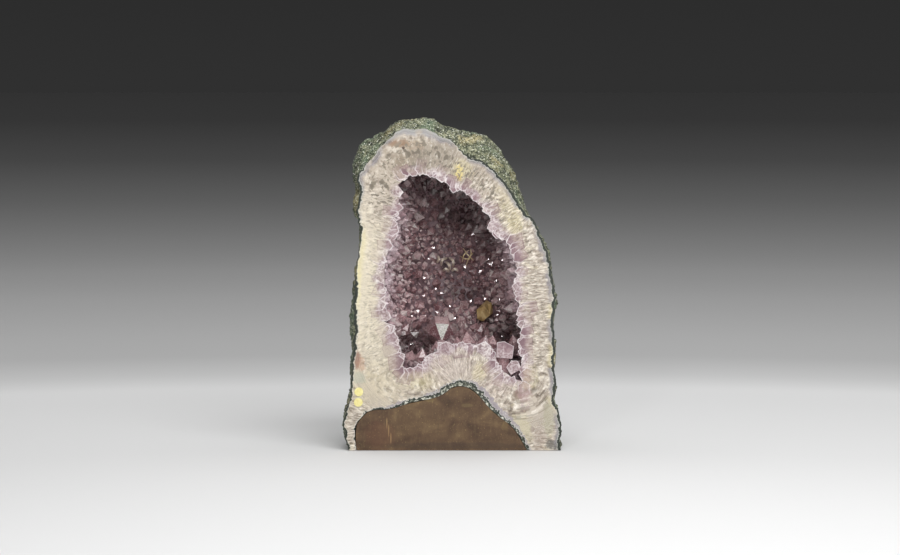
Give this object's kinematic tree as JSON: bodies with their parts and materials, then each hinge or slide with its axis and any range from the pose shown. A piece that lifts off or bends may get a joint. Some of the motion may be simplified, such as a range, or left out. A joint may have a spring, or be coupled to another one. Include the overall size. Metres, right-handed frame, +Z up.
{
  "type": "amethyst cathedral geode",
  "caption": "Tall hollow geode sawn open in front, lined with purple amethyst points, with a pale quartz wall, green rock skin and a flat brown base fill; stands as an ornament.",
  "frame": {"origin": "on the surface it stands on, under the middle of its box", "axes": "+Z up; the sawn face with the hollow looks along -Y; +X is to the right of someone who looks into the hollow"},
  "size_m": [0.1978, 0.1493, 0.3],
  "materials": {
    "quartz_wall": "sawn and polished quartz with agate bands in front",
    "rock_skin": "rough green rock skin",
    "amethyst": "clear purple crystal faces",
    "base_fill": "matte brown, rubbed smooth",
    "calcite": "waxy yellow-brown crystal",
    "paper_dot": "matte pale yellow paper"
  },
  "bodies": {
    "root": {"quartz_shell": "quartz_wall", "amethyst_crust": "amethyst", "base_fill": "base_fill", "calcite_crystal": "calcite", "paper_dot_upper": "paper_dot", "paper_dot_lower": "paper_dot"}
  },
  "joints": []
}
